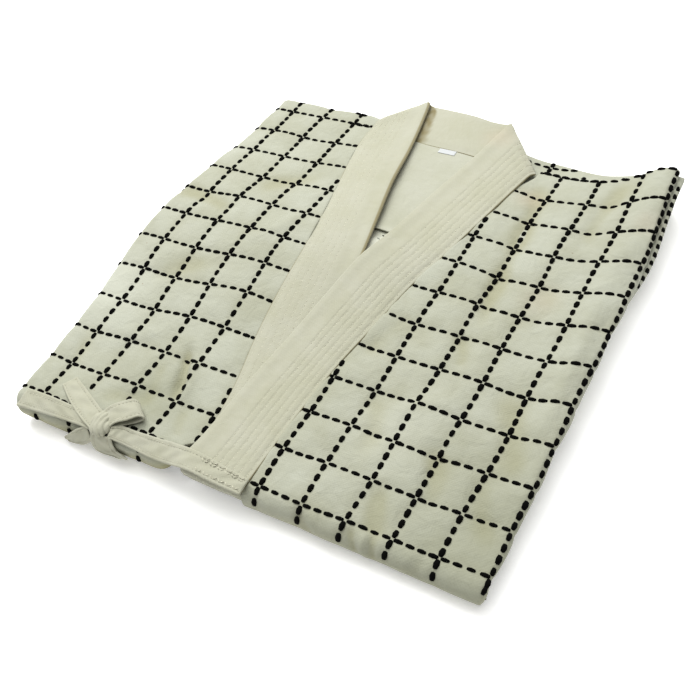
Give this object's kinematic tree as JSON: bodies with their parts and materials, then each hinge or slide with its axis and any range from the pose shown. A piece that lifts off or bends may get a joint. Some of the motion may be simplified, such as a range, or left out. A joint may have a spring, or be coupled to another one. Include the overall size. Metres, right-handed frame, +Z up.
{
  "type": "folded kendogi (kendo practice jacket)",
  "caption": "Kendo practice jacket of unbleached sashiko cotton with a black running-stitch grid, folded square with its crossed collar on top and its front ties in a bow.",
  "frame": {"origin": "middle of the flat underside that the folded jacket rests on, at the middle of its bounding box in X and Y", "axes": "+Z up from the surface it lies on, +Y along the body towards the neck, +X across the body towards the wearer's left front, which lies on top"},
  "size_m": [0.3909, 0.4213, 0.037],
  "materials": {
    "sashiko_cotton": "unbleached cotton, black running-stitch squares",
    "plain_cotton": "plain woven lining cotton",
    "collar_cotton": "plain woven band cotton, quilted in rows",
    "label_cloth": "blank woven label",
    "stitch_thread": "black cotton sashiko thread"
  },
  "bodies": {
    "root": {"hidden_layers": "sashiko_cotton", "sleeve_left": "sashiko_cotton", "sleeve_right": "sashiko_cotton", "front_left": "sashiko_cotton", "front_right": "sashiko_cotton", "back": "sashiko_cotton", "shoulder_lining": "plain_cotton", "neck_label": "label_cloth", "collar": "collar_cotton", "tie_left": "collar_cotton", "tie_right": "collar_cotton", "tie_right_tail": "collar_cotton", "tie_left_tail": "collar_cotton", "bow_loop": "collar_cotton", "bow_loop_lower": "collar_cotton", "bow_knot": "collar_cotton"}
  },
  "joints": []
}
